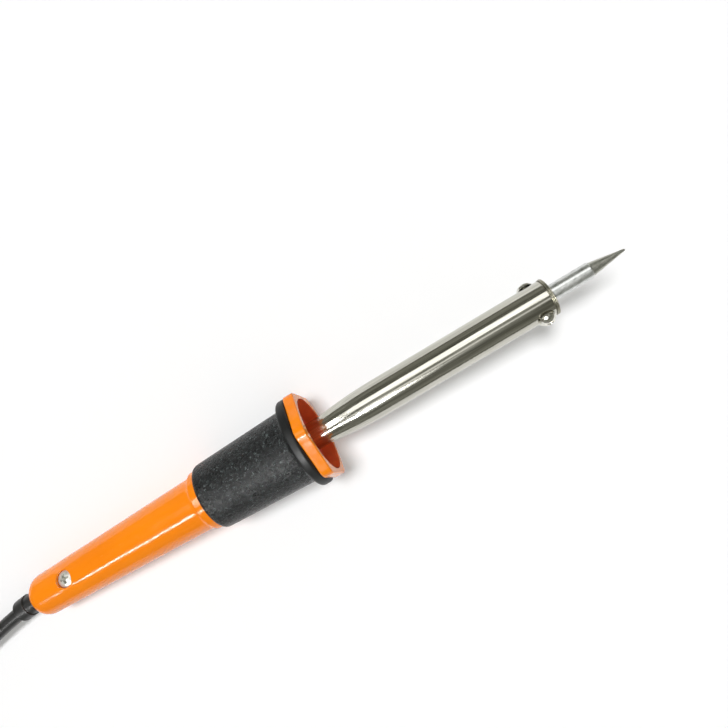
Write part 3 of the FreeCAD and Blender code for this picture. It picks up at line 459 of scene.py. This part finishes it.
def closed_object(bm, name):
    """Linked object of a closed mesh, welded, with its faces turned outwards."""
    bmesh.ops.remove_doubles(bm, verts=bm.verts, dist=WELD)
    bmesh.ops.recalc_face_normals(bm, faces=bm.faces)
    mesh = bpy.data.meshes.new(name)
    bm.to_mesh(mesh)
    bm.free()
    obj = bpy.data.objects.new(name, mesh)
    scene.collection.objects.link(obj)
    return obj


def smoothed(obj, angle):
    """Smooth shading, with the edges sharper than an angle in degrees kept."""
    obj.data.shade_smooth()
    obj.data.set_sharp_from_angle(angle=math.radians(angle))


def cross_punch(name, place, top, width, reach, depth):
    """Cross-shaped punch, narrower towards its point."""
    bm = bmesh.new()

    def outline(half, arm, height):
        verts = []
        for quarter in range(4):
            c, s = (1, 0, -1, 0)[quarter], (0, 1, 0, -1)[quarter]
            for a, b in ((arm, -half), (arm, half), (half, half)):
                verts.append(bm.verts.new(place(a * c - b * s, a * s + b * c, height)))
        return verts

    high = outline(width * PUNCH_TOP[0], reach * PUNCH_TOP[1], top + PUNCH_OVER)
    low = outline(width * PUNCH_POINT[0], reach * PUNCH_POINT[1], top - depth)
    bm.faces.new(high)
    bm.faces.new(list(reversed(low)))
    for index in range(len(low)):
        after = (index + 1) % len(low)
        bm.faces.new((low[index], low[after], high[after], high[index]))
    return closed_object(bm, name)


def straight_punch(name, place, radius, low, high):
    """Round punch from low to high along a square place."""
    bm = bmesh.new()
    add_lathe(bm, place, [(0.0, low), (radius, low), (radius, high), (0.0, high)])
    return closed_object(bm, name)


def cut_by(obj, punch, angle):
    """Take the punch out of the piece for good."""
    step = obj.modifiers.new("recess", "BOOLEAN")
    step.operation = "DIFFERENCE"
    step.solver = "EXACT"
    step.object = punch
    graph = bpy.context.evaluated_depsgraph_get()
    mesh = bpy.data.meshes.new_from_object(obj.evaluated_get(graph))
    obj.modifiers.clear()
    obj.data = mesh
    smoothed(obj, angle)
    bpy.data.objects.remove(punch)


def dress(obj, look, body, node):
    """Give a finished piece its material and its body, and hide the CAD node that it stands for."""
    obj.data.materials.clear()
    obj.data.materials.append(LOOKS[look])
    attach(obj, body)
    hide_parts(node)


def screw(name, body, look, x, angle, tip, base, head, recess):
    """Machine screw with a domed cross-recess head, in place of its plain CAD piece."""
    place = square_place(x, angle)
    radius, rim, top = head
    under = [(THREAD_ROOT_R, base), (radius - HEAD_EDGE, base),
             (radius - 0.3 * HEAD_EDGE, base + 0.3 * HEAD_EDGE), (radius, base + HEAD_EDGE)]
    bm = bmesh.new()
    add_thread(bm, place, tip, base)
    add_lathe(bm, place, [(0.0, tip), (THREAD_ROOT_R, tip)])
    add_lathe(bm, place, under + dome(radius, base + rim, top))
    obj = closed_object(bm, name + "_threaded")
    smoothed(obj, SCREW_CREASE)
    cut_by(obj, cross_punch(name + "_punch", place, top, *recess), SCREW_CREASE)
    dress(obj, look, body, name)


screw("clamp_screw_near", "screw_near", "nickel_plate", CLAMP_X, CLAMP_ANGLE, CLAMP_NEAR_TIP,
      CLAMP_BASE, CLAMP_HEAD, CLAMP_RECESS)
screw("clamp_screw_far", "screw_far", "nickel_plate", CLAMP_X, CLAMP_ANGLE + math.pi,
      CLAMP_FAR_TIP, CLAMP_BASE, CLAMP_HEAD, CLAMP_RECESS)
screw("tail_screw", "iron", "screw_plate", TAIL_X, -ROLL, TAIL_TIP, TAIL_SEAT, TAIL_HEAD,
      TAIL_RECESS)

# ------------------------------------------------------------------ turned pieces
TURNED_SIDES = 144
BARREL_CREASE = 30.0
COLLAR_CREASE = 40.0
GRIP_CREASE = 50.0

NECK_R = 4.9
BARREL_R = 6.25
BARREL_WALL = 0.45
BARREL_EDGE = 0.1
BARREL_EDGE_STEPS = 3
NECK_END_X = 116.0
COVE_LENGTH = 4.0
CROWN_LENGTH = 20.0
SWAGE_STEPS = 8
HOOPS_X = (150.0, 165.0, 180.0)         # rings that keep the long faces of the tube short
HOLE_HOOP_X = 193.0                     # last ring behind the cross hole
BARREL_REAR_X = 100.9                   # rear face of the rim, which lies in the cup's floor
BARREL_RIM_R = 6.6

NOSE_X = 201.1                          # mouth of the tube
NOSE_FRONT_X = 202.4                    # front of the collar
NOSE_LIP_R = 6.45
COLLAR_LENGTH = 7.6                     # inside the tube
COLLAR_R = 5.75
COLLAR_CORE_R = 1.5                     # well inside the bore, which is cut after it
COLLAR_SEAT_R = 5.85
COLLAR_GROOVE_R = 6.02
COLLAR_BEAD_R = 0.25
COLLAR_BEAD_STEPS = 10
BIT_BORE_R = 2.78
BORE_PUNCH_X = (NOSE_X - 9.0, NOSE_X + 3.0)     # from behind the collar to in front of it
BIT_PUSH = 0.72                         # off the axis, away from the near screw

GRIP_X = 72.4
GRIP_R = 11.85
GRIP_REAR_EDGE = 1.2
GRIP_EDGE_STEPS = 5
GRIP_FRONT_X = 106.6
GRIP_FRONT_R = 13.2
GRIP_SIDES = 256
LIP_X = 107.9
LIP_R = 15.9
LIP_FRONT_X = 111.5
LIP_EDGE = 1.1
LIP_STEPS = 6
GRIP_BORE_R = 9.93
GRIP_BORE_FRONT_R = 11.28
LIP_BORE_X = 109.4
LIP_BORE_R = 14.58

GRAIN_STEP = 0.32
GRAIN_DEPTH = 0.09
GRAIN_FROM_X = GRIP_X + 0.2
GRAIN_TO_X = LIP_X - 0.6
GRAIN_FADE = 1.5
GRAIN_FROM_R = GRIP_R - 1.3


def arc(x, r, radius, start, end, steps):
    """Points of an arc of the profile, in degrees from the axis direction."""
    points = []
    for step in range(steps + 1):
        angle = math.radians(start + (end - start) * step / steps)
        points.append((x + radius * math.cos(angle), r + radius * math.sin(angle)))
    return points


def axis_lathe(profile, sides, shift=None):
    """Closed profile of (x, radius) turned round the iron's axis; shift moves points in or out."""
    bm = bmesh.new()
    rings = []
    for x, r in profile:
        verts = []
        for side in range(sides):
            turn = 2.0 * math.pi * side / sides
            y, z = math.sin(turn), math.cos(turn)
            out = r + (shift(x, r, r * y, r * z) if shift else 0.0)
            verts.append(bm.verts.new(iron(x, out * y, out * z)))
        rings.append(verts)
    for low, high in zip(rings, rings[1:] + rings[:1]):
        for side in range(sides):
            after = (side + 1) % sides
            bm.faces.new((low[side], low[after], high[after], high[side]))
    return bm


def barrel_skin(depth):
    """Neck, swaged shoulder and tube, some depth below the outside."""
    rise = BARREL_R - NECK_R
    slope = 2.0 * math.atan(rise / (COVE_LENGTH + CROWN_LENGTH))
    cove = COVE_LENGTH / math.sin(slope)
    crown = CROWN_LENGTH / math.sin(slope)
    lean = math.degrees(slope)
    swage_end = NECK_END_X + COVE_LENGTH + CROWN_LENGTH
    points = arc(NECK_END_X, NECK_R + cove, cove + depth, 270.0, 270.0 + lean, SWAGE_STEPS)
    points += arc(swage_end, BARREL_R - crown, crown - depth, 90.0 + lean, 90.0,
                  2 * SWAGE_STEPS)[1:]
    return points


def make_barrel():
    """Tube with its rim, neck, swaged shoulder and cross hole."""
    bore = BARREL_R - BARREL_WALL
    mouth = arc(NOSE_X - BARREL_EDGE, BARREL_R - BARREL_EDGE, BARREL_EDGE, 90.0, 0.0,
                BARREL_EDGE_STEPS)
    profile = [(BARREL_REAR_X, BARREL_RIM_R), (CUP_FLOOR_X, BARREL_RIM_R), (CUP_FLOOR_X, NECK_R)]
    profile += barrel_skin(0.0)
    profile += [(x, BARREL_R) for x in HOOPS_X + (HOLE_HOOP_X,)]
    profile += mouth
    profile += [(NOSE_X, bore), (HOLE_HOOP_X, bore)]
    profile += list(reversed(barrel_skin(BARREL_WALL)))
    profile += [(BARREL_REAR_X, NECK_R - BARREL_WALL)]
    obj = closed_object(axis_lathe(profile, TURNED_SIDES), "barrel_tube")
    smoothed(obj, BARREL_CREASE)
    cut_by(obj, cross_hole("barrel_punch"), BARREL_CREASE)
    dress(obj, "barrel_steel", "iron", "barrel")


def cross_hole(name):
    """Punch for the hole that both clamp screws stand in."""
    place = square_place(CLAMP_X, CLAMP_ANGLE)
    return straight_punch(name, place, CROSS_HOLE_R, -CROSS_HOLE_REACH, CROSS_HOLE_REACH)


def make_collar():
    """Collar in the tube's mouth: two fine beads, and a bore where the near screw holds the bit."""
    rear = NOSE_X - COLLAR_LENGTH
    bead = COLLAR_BEAD_R
    first = NOSE_FRONT_X - 4.0 * bead
    crest = NOSE_LIP_R - bead
    profile = [(rear, COLLAR_CORE_R), (rear, COLLAR_R), (NOSE_X, COLLAR_R), (NOSE_X, COLLAR_SEAT_R)]
    profile += [(first, COLLAR_SEAT_R)]
    profile += arc(first + bead, crest, bead, 180.0, 0.0, COLLAR_BEAD_STEPS)
    profile += [(first + 2.0 * bead, COLLAR_GROOVE_R)]
    profile += arc(NOSE_FRONT_X - bead, crest, bead, 180.0, 0.0, COLLAR_BEAD_STEPS)[1:]
    profile += [(NOSE_FRONT_X, COLLAR_CORE_R)]
    obj = closed_object(axis_lathe(profile, TURNED_SIDES), "nose_beads")
    smoothed(obj, COLLAR_CREASE)
    clamp = square_place(0.0, CLAMP_ANGLE)

    def bore(across, out, along):
        return clamp(along, across, out - BIT_PUSH)

    cut_by(obj, straight_punch("bore_punch", bore, BIT_BORE_R, *BORE_PUNCH_X), COLLAR_CREASE)
    cut_by(obj, cross_hole("collar_punch"), COLLAR_CREASE)
    dress(obj, "nose_steel", "iron", "nose_collar")


def grain(x, r, y, z):
    """Leather-like wrinkles of the sleeve, cut into its outside."""
    if r < GRAIN_FROM_R or not GRAIN_FROM_X <= x <= GRAIN_TO_X:
        return 0.0
    bend = noise.noise_vector(Vector((x, y, z)) * 0.45) * 0.9
    place = Vector((x * 0.85, y, z)) + bend
    ridge = 1.0 - abs(noise.noise(place * 1.15)) * 2.6
    small = noise.noise(place * 2.3 + Vector((7.0, 3.0, 1.0)))
    fade = min(1.0, (GRAIN_TO_X - x) / GRAIN_FADE)
    return GRAIN_DEPTH * fade * (0.75 * ridge + 0.35 * small - 0.75)


def make_grip():
    """Grained sleeve with the smooth lip behind the flange."""
    edge = GRIP_REAR_EDGE
    cove = LIP_X - GRIP_FRONT_X
    length = GRIP_FRONT_X - GRIP_X - edge
    steps = round(length / GRAIN_STEP)
    profile = [(GRIP_X, GRIP_BORE_R)]
    profile += arc(GRIP_X + edge, GRIP_R - edge, edge, 180.0, 90.0, GRIP_EDGE_STEPS)
    for step in range(1, steps):
        share = step / steps
        profile.append((GRIP_X + edge + length * share, GRIP_R + (GRIP_FRONT_R - GRIP_R) * share))
    profile += arc(GRIP_FRONT_X, GRIP_FRONT_R + cove, cove, 270.0, 360.0, LIP_STEPS)
    profile += arc(LIP_X + LIP_EDGE, LIP_R - LIP_EDGE, LIP_EDGE, 180.0, 90.0, LIP_STEPS)
    profile += arc(LIP_FRONT_X - LIP_EDGE, LIP_R - LIP_EDGE, LIP_EDGE, 90.0, 0.0, LIP_STEPS)
    profile += [(LIP_FRONT_X, LIP_BORE_R), (LIP_BORE_X, LIP_BORE_R),
                (GRIP_FRONT_X, GRIP_BORE_FRONT_R)]
    obj = closed_object(axis_lathe(profile, GRIP_SIDES, grain), "grip_leather")
    smoothed(obj, GRIP_CREASE)
    dress(obj, "grip_rubber", "iron", "grip_sleeve")


make_barrel()
make_collar()
make_grip()

# ------------------------------------------------------------------ free cord
# The route repeats part.py's, in millimetres. The hank is wound as an eight: four turns round
# two end loops and the start of a fifth, with a waist under the tie.
CORD_R = 2.5
EXIT_X = -7.967
EXIT_Y = -0.627
RELIEF_TURN = math.radians(9.0)         # that the relief bends towards -Y
LEAD_FIRST_RUN = 12.0                   # straight out of the relief
# offsets from the exit, with the height above the table
LEAD_ROUTE = ((-24.5, -5.4, 3.7), (-35.5, -8.8, 2.6), (-48.0, -11.0, 2.6))
HANK_FROM_EXIT = (-90.56, 3.03)
HANK_START = (22.8, -9.6, 2.6)          # from the middle of the hank, as what follows
HANK_TURNS = 4
HANK_HALF = 41.0                        # to the centre of each end loop
LOOP_R = 16.75
LOOP_STEPS = 6
WAIST_HALF = 2.6                        # half the distance between the two sides at the tie
WAIST_X = 5.0                           # half the length of the straight runs under the tie
BOW = 0.7                               # outwards, between the waist and a loop
LOWEST = 2.6                            # height of the first turn's middle
TURN_RISE = 5.1
# over the last turn, down its end and on to the plug
TAIL_ROUTE = ((-6.5, -2.6, 23.0), (-19.0, -7.4, 23.6), (-34.0, -12.6, 24.6),
              (-48.0, -15.6, 25.2), (-60.5, -15.2, 23.0), (-71.0, -12.2, 17.4),
              (-80.5, -8.2, 11.8), (-89.5, -4.4, 8.2), (-98.0, -1.9, 6.85),
              (-106.0, -1.0, 6.85), (-113.0, -1.0, 6.85))
EXIT = iron(EXIT_X, EXIT_Y, 0.0)
MIDDLE = Vector((EXIT.x + HANK_FROM_EXIT[0] * MM, EXIT.y + HANK_FROM_EXIT[1] * MM, 0.0))


def end_loop():
    """Right-hand end of one turn: from the +Y side of the waist round to the -Y side."""
    run = HANK_HALF - WAIST_X
    lean = math.asin(LOOP_R / math.hypot(run, WAIST_HALF)) - math.atan2(WAIST_HALF, run)
    step = (math.pi + 2.0 * lean) / LOOP_STEPS
    reach = LOOP_R / math.cos(step / 2.0)
    round_it = []
    for index in range(LOOP_STEPS):
        angle = math.pi / 2.0 + lean - step * (index + 0.5)
        round_it.append((HANK_HALF + reach * math.cos(angle), reach * math.sin(angle)))
    first = round_it[0]
    bow = ((WAIST_X + first[0]) / 2.0, (WAIST_HALF + first[1]) / 2.0 + BOW)
    return [bow] + round_it + [(bow[0], -bow[1])]


def cord_route():
    """Points of the cord's one curve, in metres, from its relief to its plug."""
    ahead = iron(EXIT_X - math.cos(RELIEF_TURN), EXIT_Y - math.sin(RELIEF_TURN), 0.0)
    heading = (ahead - EXIT).normalized()
    points = [EXIT, EXIT + heading * LEAD_FIRST_RUN * MM]
    for x, y, z in LEAD_ROUTE:
        points.append(Vector((EXIT.x + x * MM, EXIT.y + y * MM, z * MM)))
    points.append(MIDDLE + Vector(HANK_START) * MM)
    right = end_loop()
    left = [(-x, y) for x, y in reversed(right)]
    turn = [(WAIST_X, -WAIST_HALF), (-WAIST_X, -WAIST_HALF)] + left
    turn += [(-WAIST_X, WAIST_HALF), (WAIST_X, WAIST_HALF)] + right
    lengths = [0.0]
    for a, b in zip(turn, turn[1:] + turn[:1]):
        lengths.append(lengths[-1] + math.dist(a, b))
    first, last = lengths[1], lengths[len(turn) - len(right)]

    def on_turn(lap, index):
        """Each turn climbs onto the one below it between its first waist and its second."""
        climb = min(1.0, max(0.0, (lengths[index] - first) / (last - first)))
        height = LOWEST + TURN_RISE * (lap + climb)
        return MIDDLE + Vector((*turn[index], height)) * MM

    for lap in range(HANK_TURNS):
        points.extend(on_turn(lap, index) for index in range(len(turn)))
    points.append(on_turn(HANK_TURNS, 0))
    points.extend(MIDDLE + Vector(p) * MM for p in TAIL_ROUTE)
    return points


def make_cord():
    """One round curve from the strain relief to the plug."""
    curve = bpy.data.curves.new("mains_cord", "CURVE")
    curve.dimensions = "3D"
    spline = curve.splines.new("NURBS")
    route = cord_route()
    spline.points.add(len(route) - 1)
    for point, place in zip(spline.points, route):
        point.co = (place.x, place.y, place.z, 1.0)
        point.radius = CORD_R * MM
    spline.order_u = 3
    spline.use_endpoint_u = True
    spline.resolution_u = 12
    curve.bevel_depth = 1.0       # times each point's radius
    curve.bevel_resolution = 8
    curve.use_fill_caps = True
    obj = bpy.data.objects.new("mains_cord", curve)
    scene.collection.objects.link(obj)
    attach(obj, "iron")
    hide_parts("cord_lead", "cord_hank", "cord_tail")
    return obj


cord = make_cord()
cord.data.materials.append(LOOKS["black_vinyl"])

# ------------------------------------------------------------------ floor, world and lamps
FLOOR_SIZE = 8.0
FLOOR_GLOW = 0.20       # share of plain white in what the camera and reflections see of the floor
# the sky seen by light and reflections, from the horizon (0) to straight up (1)
SKY_HORIZON = (0.19, 0.19, 0.165, 1.0)
SKY_BETWEEN = ((0.39, (0.26, 0.26, 0.23, 1.0)), (0.55, (0.15, 0.15, 0.125, 1.0)),
               (0.85, (0.13, 0.13, 0.11, 1.0)))
SKY_TOP = (0.32, 0.32, 0.29, 1.0)


def plain_floor():
    """Pale matt floor that keeps the object's shadow."""
    bpy.ops.mesh.primitive_plane_add(size=FLOOR_SIZE, location=(0.0, 0.0, 0.0))
    floor = bpy.context.object
    floor.name = "floor"
    n = Nodes("floor_white")
    n.put(n.bsdf, Base_Color=(0.965, 0.965, 0.98, 1.0), Roughness=0.9, Specular_IOR_Level=0.1)
    glow = n.add("ShaderNodeEmission")
    glow.inputs["Color"].default_value = (1.0, 1.0, 1.0, 1.0)
    glow.inputs["Strength"].default_value = 1.0
    path = n.add("ShaderNodeLightPath")
    seen = n.add("ShaderNodeMath", operation="MAXIMUM")
    n.join(path, "Is Camera Ray", seen, 0)
    n.join(path, "Is Glossy Ray", seen, 1)
    also = n.add("ShaderNodeMath", operation="MAXIMUM")
    n.join(seen, "Value", also, 0)
    n.join(path, "Is Transmission Ray", also, 1)
    share = n.add("ShaderNodeMath", operation="MULTIPLY")
    n.join(also, "Value", share, 0)
    share.inputs[1].default_value = FLOOR_GLOW
    blend = n.add("ShaderNodeMixShader")
    n.join(share, "Value", blend, "Fac")
    n.join(n.bsdf, "BSDF", blend, 1)
    n.join(glow, "Emission", blend, 2)
    n.join(blend, "Shader", n.out, "Surface")
    floor.data.materials.append(n.mat)


def studio_world():
    """White to the camera, dim bands of grey to everything else."""
    world = bpy.data.worlds.new("studio")
    scene.world = world
    world.use_nodes = True
    tree = world.node_tree
    tree.nodes.clear()
    out = tree.nodes.new("ShaderNodeOutputWorld")
    coords = tree.nodes.new("ShaderNodeTexCoord")
    parts = tree.nodes.new("ShaderNodeSeparateXYZ")
    tree.links.new(coords.outputs["Generated"], parts.inputs[0])
    ramp = tree.nodes.new("ShaderNodeValToRGB")
    bar = ramp.color_ramp.elements
    bar[0].color = SKY_HORIZON
    bar[1].color = SKY_TOP
    for place, colour in SKY_BETWEEN:
        bar.new(place).color = colour
    tree.links.new(parts.outputs["Z"], ramp.inputs["Fac"])
    dim = tree.nodes.new("ShaderNodeBackground")
    tree.links.new(ramp.outputs["Color"], dim.inputs["Color"])
    pale = tree.nodes.new("ShaderNodeBackground")
    pale.inputs["Color"].default_value = (1.0, 1.0, 1.0, 1.0)
    path = tree.nodes.new("ShaderNodeLightPath")
    blend = tree.nodes.new("ShaderNodeMixShader")
    tree.links.new(path.outputs["Is Camera Ray"], blend.inputs[0])
    tree.links.new(dim.outputs[0], blend.inputs[1])
    tree.links.new(pale.outputs[0], blend.inputs[2])
    tree.links.new(blend.outputs[0], out.inputs[0])


def softbox(name, x, y, z, wide, deep, radiance):
    """Area lamp of a given radiance, wide along X, that faces the frame's origin; it makes gloss."""
    lamp = bpy.data.lights.new(name, "AREA")
    lamp.shape = "RECTANGLE"
    lamp.size = wide
    lamp.size_y = deep
    lamp.energy = radiance * wide * deep * math.pi
    obj = bpy.data.objects.new(name, lamp)
    obj.location = (x, y, z)
    away = obj.location.normalized()
    across = Vector((1.0, 0.0, 0.0))
    across -= away * across.dot(away)
    across.normalize()
    up = away.cross(across)
    obj.rotation_euler = Matrix((across, up, away)).transposed().to_euler()
    obj.visible_camera = False
    obj.visible_diffuse = False
    scene.collection.objects.link(obj)


def sun(name, direction, width, level):
    """Soft parallel light of a width in degrees, without gloss."""
    lamp = bpy.data.lights.new(name, "SUN")
    lamp.angle = math.radians(width)
    lamp.energy = level * math.pi
    obj = bpy.data.objects.new(name, lamp)
    obj.rotation_euler = Vector(direction).to_track_quat("Z", "Y").to_euler()
    obj.visible_glossy = False
    obj.visible_camera = False
    scene.collection.objects.link(obj)


plain_floor()
studio_world()
# name, direction of the light's source, width in degrees, level
sun("key", (-0.18, 0.27, 1.0), 16.0, 0.80)
sun("fill", (0.1, -0.8, 1.0), 70.0, 0.13)
# name, place, size along X and across it in metres, radiance
softbox("barrel_box", 0.10, 0.355, 0.80, 0.90, 0.41, 1.9)
softbox("barrel_strip", 0.10, -0.125, 0.80, 0.90, 0.14, 0.66)
softbox("grip_box", -0.45, 0.25, 0.79, 0.14, 0.46, 11.5)
softbox("flange_strip", -0.19, -0.36, 0.79, 0.12, 0.11, 200.0)
softbox("handle_strip", -0.59, -0.36, 0.80, 0.56, 0.045, 48.0)

# ------------------------------------------------------------------ camera
CAMERA_X = 139.5        # from the frame's place of the tail, in millimetres
CAMERA_Y = 12.0
CAMERA_HEIGHT = 204.0
CAMERA_TURN = math.radians(-30.98)

camera_data = bpy.data.cameras.new("camera")
camera_data.sensor_width = 36.0
camera_data.lens = 27.8
camera_data.clip_start = 0.005
camera_data.dof.use_dof = False
camera = bpy.data.objects.new("camera", camera_data)
camera.location = ((CAMERA_X + SHIFT) * MM, CAMERA_Y * MM, CAMERA_HEIGHT * MM)
camera.rotation_euler = (0.0, 0.0, CAMERA_TURN)
scene.collection.objects.link(camera)
scene.camera = camera
scene.view_settings.view_transform = "Standard"
